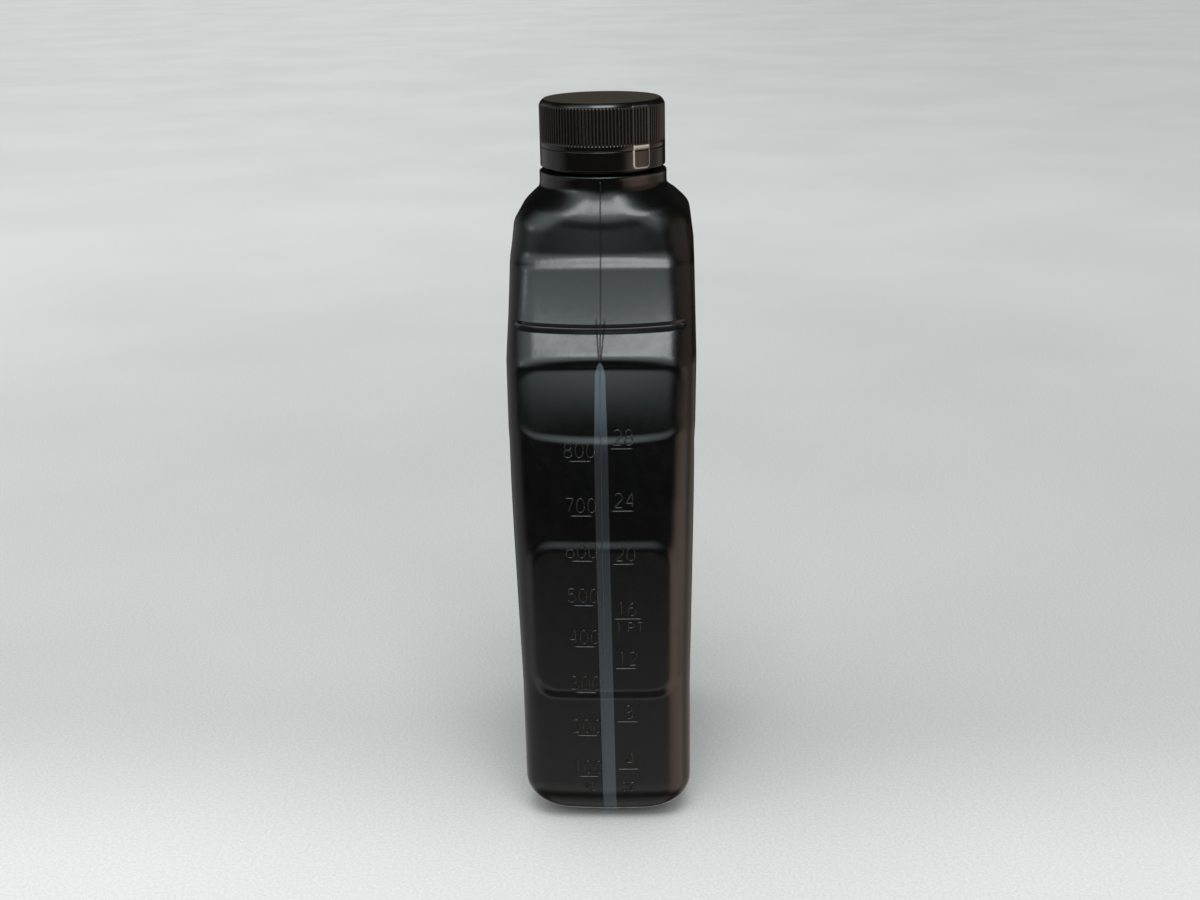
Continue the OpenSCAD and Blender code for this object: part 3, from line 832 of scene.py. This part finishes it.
def build_ring(material):
    """Tamper ring with a hook lip and a raised tab, with a soft highlight painted along the tab's edges."""
    tab_turn = TAB_REACH / CAP_R
    near_tab = np.linspace(-TAB_REACH, TAB_REACH, TAB_COLUMNS) / CAP_R
    rest = np.linspace(tab_turn, 2 * math.pi - tab_turn, PLAIN_COLUMNS)[1:-1]
    angles = PAD_ANGLE + np.concatenate([near_tab, rest])
    profile = ring_profile()
    rings = np.array([circle_ring(r, z, angles) for r, z in profile])
    z = rings[:, 0, 2][:, None]
    is_outer = (np.abs([r - CAP_R for r, _ in profile]) < SKIN_DEPTH)[:, None]
    across = from_pad_middle(angles)[None, :]
    # The tab runs on past the ring's top, so that its painted edge highlight is open there
    distance = from_panel(across, z, TAB_W, Z_SCORE - TAB_H, Z_SCORE + TAB_OVERRUN, TAB_CORNER_R)
    # Painted highlight in a soft line just inside the tab's edge
    painted_highlight = line_share(distance + HIGHLIGHT_INSET, TAB_HIGHLIGHT_W) * is_outer
    push_out(rings, PAD_RISE * inside(distance, TAB_EDGE) * is_outer)
    rows, columns = rings.shape[:2]
    faces = ring_faces(rows, columns, close_rows=True)
    points = rings.reshape(-1, 3)
    return make_piece("ring_band", points, faces, "bottle", material, "tamper_ring", painted_highlight)


# Screw thread of the neck and of the cap
PITCH = 4.2333
THREAD_TURNS = 1.5
THREAD_LIFT = 2.4
THREAD_STEPS = 96
THREAD_FADE = 6
THREAD_SINK = 0.3
NECK_CREST_R = 18.4
CAP_CREST_R = 17.9


def build_thread(name, root_r, crest_r, z_start, body, material):
    """Screw thread: a helical ridge with sloping flanks and ends that run out."""
    steps = int(THREAD_TURNS * THREAD_STEPS)
    sink = root_r - THREAD_SINK * math.copysign(1, crest_r - root_r)
    points = []
    for i in range(steps + 1):
        turn = i / THREAD_STEPS
        angle = 2 * math.pi * turn
        fade = min(1.0, THREAD_FADE * min(turn, THREAD_TURNS - turn))
        crest = root_r + (crest_r - root_r) * fade
        z = z_start + PITCH * turn
        section = [(sink, -1.15), (root_r, -1.0), (crest, -0.4), (crest, 0.4), (root_r, 1.0), (sink, 1.15)]
        for radius, dz in section:
            points.append((radius * math.cos(angle), radius * math.sin(angle), z + dz))
    columns = len(section)
    faces = ring_faces(steps + 1, columns)
    faces.append(lid(0, columns, turned=True))
    faces.append(lid(steps, columns))
    if crest_r > root_r:
        faces = [face[::-1] for face in faces]
    return make_piece(name, points, faces, body, material)


# Strokes of the level scale's characters, on a grid one unit high
def loop(cx, cy, rx, ry, start=0, end=360, steps=16):
    turn = np.radians(np.linspace(start, end, steps + 1))
    return [(cx + rx * math.cos(t), cy + ry * math.sin(t)) for t in turn]


GLYPHS = {
    "0": [loop(0.28, 0.5, 0.28, 0.5)],
    "1": [[(0.14, 0.8), (0.32, 1.0), (0.32, 0.0)]],
    "2": [loop(0.28, 0.72, 0.27, 0.28, 165, -40, 10) + [(0.0, 0.0), (0.58, 0.0)]],
    "3": [loop(0.26, 0.75, 0.25, 0.25, 150, -90, 10) + loop(0.26, 0.26, 0.29, 0.26, 90, -150, 10)],
    "4": [[(0.44, 0.0), (0.44, 1.0), (0.0, 0.3), (0.6, 0.3)]],
    "5": [[(0.52, 1.0), (0.08, 1.0), (0.04, 0.55)] + loop(0.27, 0.32, 0.29, 0.32, 125, -150, 12)],
    "6": [loop(0.28, 0.3, 0.28, 0.3), loop(0.56, 0.3, 0.56, 0.7, 180, 105, 8)],
    "7": [[(0.0, 1.0), (0.58, 1.0), (0.2, 0.0)]],
    "8": [loop(0.28, 0.75, 0.23, 0.25), loop(0.28, 0.26, 0.28, 0.26)],
    "M": [[(0.0, 0.0), (0.0, 1.0), (0.35, 0.35), (0.7, 1.0), (0.7, 0.0)]],
    "L": [[(0.0, 1.0), (0.0, 0.0), (0.5, 0.0)]],
    "O": [loop(0.34, 0.5, 0.34, 0.5)],
    "Z": [[(0.0, 1.0), (0.55, 1.0), (0.0, 0.0), (0.55, 0.0)]],
    "P": [[(0.0, 0.0), (0.0, 1.0)] + loop(0.3, 0.74, 0.26, 0.26, 90, -90, 8) + [(0.0, 0.48)]],
    "T": [[(0.0, 1.0), (0.6, 1.0)], [(0.3, 1.0), (0.3, 0.0)]],
    " ": [],
}
GLYPH_ADVANCE = {"M": 0.95, "O": 0.9, " ": 0.4}
PLAIN_ADVANCE = 0.78
GLYPH_GAP = 0.2


def text_strokes(text, middle, baseline, size):
    """Strokes of a short text, centred at a depth on the scale side."""
    advances = [GLYPH_ADVANCE.get(c, PLAIN_ADVANCE) for c in text]
    left = middle - size * (sum(advances) - GLYPH_GAP) / 2
    strokes = []
    for c, advance in zip(text, advances):
        for stroke in GLYPHS[c]:
            strokes.append([(left + size * u, baseline + size * v) for u, v in stroke])
        left += size * advance
    return strokes


# Level scale: the height of each value's line, and depths from the stripe's middle
MILLILITRES = {100: 18.0, 200: 33.5, 300: 50.0, 400: 66.8, 500: 81.6, 600: 97.3, 700: 112.4, 800: 130.4}
OUNCES = {4: 20.8, 8: 38.7, 12: 58.9, 16: 76.8, 20: 96.2, 24: 114.0, 28: 134.4}
ML_LINE = (-10.6, -3.1)
ML_MIDDLE = -7.0
OZ_LINE = (2.8, 10.4)
OZ_MIDDLE = 7.2
NUMBER_H = 4.7
NUMBER_LIFT = 1.2
PINT = 16
PINT_LINE = (2.8, 12.4)
PINT_MIDDLE = 8.0
PINT_DROP = 4.9
PINT_H = 3.6
UNIT_Z = 12.6
UNIT_MIDDLE = 6.4
UNIT_H = 3.0


def marked_line(value, z, line, middle):
    """One line of the scale with its number above it."""
    y = stripe_centre(z)
    strokes = [[(y + end, z) for end in line]]
    return strokes + text_strokes(str(value), y + middle, z + NUMBER_LIFT, NUMBER_H)


def scale_strokes():
    """Lines, numbers and unit marks of the level scale."""
    strokes = []
    for value, z in MILLILITRES.items():
        strokes += marked_line(value, z, ML_LINE, ML_MIDDLE)
    for value, z in OUNCES.items():
        strokes += marked_line(value, z, PINT_LINE if value == PINT else OZ_LINE, OZ_MIDDLE)
    pint_z = OUNCES[PINT] - PINT_DROP
    strokes += text_strokes("1 PT", stripe_centre(pint_z) + PINT_MIDDLE, pint_z, PINT_H)
    strokes += text_strokes("ML", stripe_centre(UNIT_Z) - UNIT_MIDDLE, UNIT_Z, UNIT_H)
    strokes += text_strokes("OZ", stripe_centre(UNIT_Z) + UNIT_MIDDLE, UNIT_Z, UNIT_H)
    return strokes


def resample(stroke, step):
    """Points along a polyline about a step apart, with its corners kept."""
    points = np.array(stroke, float)
    out = [points[0]]
    for start, end in zip(points[:-1], points[1:]):
        count = max(1, int(math.ceil(np.linalg.norm(end - start) / step)))
        out += [start + (end - start) * k / count for k in range(1, count + 1)]
    return np.array(out)


# Section of a raised line: shares of its width and height, and how it narrows and sinks at its ends
RIDGE_SECTION = [(-0.5, -0.5), (-0.42, 0.35), (-0.2, 0.9), (0.0, 1.0), (0.2, 0.9), (0.42, 0.35), (0.5, -0.5)]
RIDGE_CREST = (2, 3, 4)
RIDGE_END_W = 0.55
RIDGE_END_H = 0.15
RIDGE_END_SINK = 0.45
PROBE = 0.2


def unit(vectors):
    return vectors / np.linalg.norm(vectors, axis=1)[:, None]


def ridge_mesh(strokes, width, height, step, side=1.0):
    """Raised round-topped lines along strokes on a narrow side, each closed at its ends."""
    points = []
    faces = []
    columns = len(RIDGE_SECTION)
    for stroke in strokes:
        path = resample(stroke, step)
        y = path[:, 0]
        z = path[:, 1]
        on_skin = side_point(y, z, side)
        up = side_point(y, z + PROBE, side) - side_point(y, z - PROBE, side)
        across = side_point(y + PROBE, z, side) - side_point(y - PROBE, z, side)
        normal = unit(np.cross(across, up) * side)
        beside = np.cross(normal, unit(np.gradient(on_skin, axis=0)))
        start = len(points)
        rows = len(path)
        for k in range(rows):
            is_end = k in (0, rows - 1)
            across_share = RIDGE_END_W if is_end else 1.0
            for u, v in RIDGE_SECTION:
                lift = RIDGE_END_H * v - RIDGE_END_SINK if is_end else v
                points.append(on_skin[k] + beside[k] * u * width * across_share + normal[k] * lift * height)
        stroke_faces = [face[::-1] for face in ring_faces(rows, columns)]
        stroke_faces += [lid(0, columns), lid(rows - 1, columns, turned=True)]
        faces += [tuple(start + i for i in face) for face in stroke_faces]
    return points, faces


# Widths, heights and spacings of the raised marks and seams, and the pinched lines' course
MARK_W = 0.62
MARK_H = 0.34
MARK_STEP = 0.5
MARK_HIGHLIGHT = 0.04
SEAM_W = 0.55
SEAM_H = 0.16
SEAM_STEP = 0.8
SEAM_FOOT = 1.0
PINCH_LIFT = 0.6
PINCH_H = 12.0
PINCH_START = 0.25
PINCH_SPREAD = 1.15
PINCH_POWER = 0.8
PINCH_POINTS = 16


def build_marks(material):
    """The level scale as raised lines, with a faint highlight painted on their crests."""
    points, faces = ridge_mesh(scale_strokes(), MARK_W, MARK_H, MARK_STEP)
    crest = np.isin(np.arange(len(points)) % len(RIDGE_SECTION), RIDGE_CREST)
    # Painted highlight on the crests
    painted_highlight = MARK_HIGHLIGHT * crest
    return make_piece("scale_marks", points, faces, "bottle", material, painted_highlight=painted_highlight)


def pinch_line(sign):
    """One of the two pinched lines that open upwards from the stripe's tip."""
    shares = np.linspace(0, 1, PINCH_POINTS)
    aside = sign * (PINCH_START + PINCH_SPREAD * shares ** PINCH_POWER)
    return list(zip(aside, Z_BROW + PINCH_LIFT + PINCH_H * shares))


def build_seams(material):
    """Parting line up both narrow sides, with the pinched lines over the stripe's tip."""
    heights = np.arange(SEAM_FOOT, Z_LEDGE - SEAM_STEP, SEAM_STEP)
    strokes = [[(0.0, z) for z in heights], pinch_line(-1), pinch_line(1)]
    for side, name in ((1.0, "seam_scale_side"), (-1.0, "seam_plain_side")):
        points, faces = ridge_mesh(strokes, SEAM_W, SEAM_H, SEAM_STEP, side)
        make_piece(name, points, faces, "bottle", material)


# Stage: floor, lights, world and camera
def build_floor():
    """A wide sheet of paper that the plastic doesn't mirror."""
    half = 30.0
    corners = [(-half, -half, 0), (half, -half, 0), (half, half, 0), (-half, half, 0)]
    mesh = bpy.data.meshes.new("floor")
    mesh.from_pydata(corners, [], [(0, 1, 2, 3)])
    mesh.materials.append(floor_paper())
    floor = bpy.data.objects.new("floor", mesh)
    bpy.context.scene.collection.objects.link(floor)
    floor.visible_glossy = False
    return floor


def area_light(name, place, width, height, power, colour=(1, 1, 1)):
    """Rectangular lamp that looks at the upper half of the bottle."""
    aim = Vector((0, 0, 0.17))
    lamp = bpy.data.lights.new(name, "AREA")
    lamp.shape = "RECTANGLE"
    lamp.size = width
    lamp.size_y = height
    lamp.energy = power
    lamp.color = colour
    light = bpy.data.objects.new(name, lamp)
    light.location = place
    light.rotation_euler = (aim - Vector(place)).to_track_quat("-Z", "Y").to_euler()
    bpy.context.scene.collection.objects.link(light)
    return light


def lobe(tree, way, azimuth, elevation, reach):
    """Soft round patch of the world: 1 at its middle, 0 at its reach, with angles in degrees."""
    core = 0.4
    turn = math.radians(azimuth)
    lift = math.radians(elevation)
    middle = (math.cos(lift) * math.cos(turn), math.cos(lift) * math.sin(turn), math.sin(lift))
    near = add_node(tree, "ShaderNodeVectorMath", {0: way, 1: middle}, operation="DOT_PRODUCT")
    outer = math.cos(math.radians(reach))
    inner = math.cos(math.radians(reach * core))
    return ramp(tree, near.outputs["Value"], outer, inner)


# Colours of the world: what lights the scene, what the camera sees, and what gloss mirrors
SOFT_LIGHT = (0.72, 0.735, 0.735, 1)
BACKDROP = (0.60, 0.62, 0.615, 1)
DARK_ROOM = (0.012, 0.011, 0.010, 1)
PALE_TABLE = (0.78, 0.78, 0.76, 1)
FRONT_LIGHT = (1.7, 1.95, 2.0, 1)

# Glows at the sides of the room: azimuth, elevation and reach in degrees, and colour
GLOWS = [
    (-112, -10, 48, (0.4, 0.4, 0.4, 1)),
    (80, 8, 46, (0.42, 0.32, 0.26, 1)),
    (70, -27, 34, (1.35, 1.05, 0.85, 1)),
    (128, -28, 30, (0.50, 0.43, 0.37, 1)),
]


def mirrored_room(tree, way):
    """What glossy surfaces mirror: a dark room with a pale table close by, and some light from the front."""
    x, y, z = split_axes(tree, way)
    near = maths(tree, "MULTIPLY", ramp(tree, z, -0.36, -0.56), ramp(tree, z, -0.80, -0.62, 0.08, 1.0))
    near = maths(tree, "MAXIMUM", near, ramp(tree, z, -0.91, -0.96, 0.0, 0.4))
    table = mix_colour(tree, near, DARK_ROOM, PALE_TABLE)
    aside = maths(tree, "ABSOLUTE", maths(tree, "ADD", y, 0.35))
    ahead = maths(tree, "MULTIPLY", ramp(tree, x, -0.2, 0.5), ramp(tree, aside, 0.95, 0.45))
    front = maths(tree, "MULTIPLY", ramp(tree, z, 0.02, 0.68), ahead)
    room = mix_colour(tree, front, table, FRONT_LIGHT)
    for azimuth, elevation, reach, colour in GLOWS:
        room = mix_colour(tree, lobe(tree, way, azimuth, elevation, reach), room, colour)
    return room


def build_world():
    """Soft light all round, a plain backdrop for the camera and a room for the gloss to mirror."""
    world = bpy.data.worlds.new("studio")
    world.use_nodes = True
    bpy.context.scene.world = world
    tree = world.node_tree
    tree.nodes.clear()
    way = add_node(tree, "ShaderNodeTexCoord").outputs["Generated"]
    rays = add_node(tree, "ShaderNodeLightPath").outputs
    colour = mix_colour(tree, rays["Is Glossy Ray"], SOFT_LIGHT, mirrored_room(tree, way))
    colour = mix_colour(tree, rays["Is Camera Ray"], colour, BACKDROP)
    background = add_node(tree, "ShaderNodeBackground", {"Color": colour, "Strength": 1.0})
    output = add_node(tree, "ShaderNodeOutputWorld")
    tree.links.new(background.outputs["Background"], output.inputs["Surface"])


# Camera fitted to the outline in the photograph: a little to one side and looking down
CAMERA_AZIMUTH = math.radians(2.733)
CAMERA_PITCH = math.radians(17.783)
CAMERA_ROLL = math.radians(-1.107)
CAMERA_DISTANCE = 560.0
CAMERA_HEIGHT = 296.6
FOCAL_PX = 1656.785
PRINCIPAL_X_PX = 608.4
FRAME_W_PX = 1200.0


def build_camera():
    camera = bpy.data.cameras.new("camera")
    camera.sensor_width = 36.0
    camera.lens = FOCAL_PX / FRAME_W_PX * camera.sensor_width
    camera.shift_x = (FRAME_W_PX / 2 - PRINCIPAL_X_PX) / FRAME_W_PX
    camera.clip_start = 0.01
    camera.clip_end = 200.0
    out_x = math.cos(CAMERA_AZIMUTH)
    out_y = math.sin(CAMERA_AZIMUTH)
    level = math.cos(CAMERA_PITCH)
    place = Vector((CAMERA_DISTANCE * out_x, CAMERA_DISTANCE * out_y, CAMERA_HEIGHT)) * MM
    forward = Vector((-out_x * level, -out_y * level, -math.sin(CAMERA_PITCH)))
    turn = forward.to_track_quat("-Z", "Y").to_matrix().to_4x4()
    holder = bpy.data.objects.new("camera", camera)
    holder.matrix_world = Matrix.Translation(place) @ turn @ Matrix.Rotation(CAMERA_ROLL, 4, "Z")
    bpy.context.scene.collection.objects.link(holder)
    bpy.context.scene.camera = holder


bottle_black = bottle_plastic()
cap_black = cap_plastic()
build_body(bottle_black)
build_marks(bottle_black)
build_seams(bottle_black)
build_ring(cap_black)
build_cap(cap_black)

neck_start = Z_SCORE + THREAD_LIFT
cap_start = neck_start + PITCH / 2
build_thread("neck_thread", NECK_R, NECK_CREST_R, neck_start, "bottle", bottle_black)
build_thread("cap_thread", BORE_R, CAP_CREST_R, cap_start, "cap", cap_black)

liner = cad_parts["cap_liner"]
liner.data.materials.clear()
liner.data.materials.append(liner_foam())

build_floor()
area_light("overhead", (0.58, 0.06, 1.25), 0.64, 0.55, 7.2, (0.96, 1.0, 1.0))
area_light("window", (0.61, -0.98, 0.76), 0.16, 0.16, 0.5)
build_world()
build_camera()
bpy.context.scene.view_settings.view_transform = "Standard"
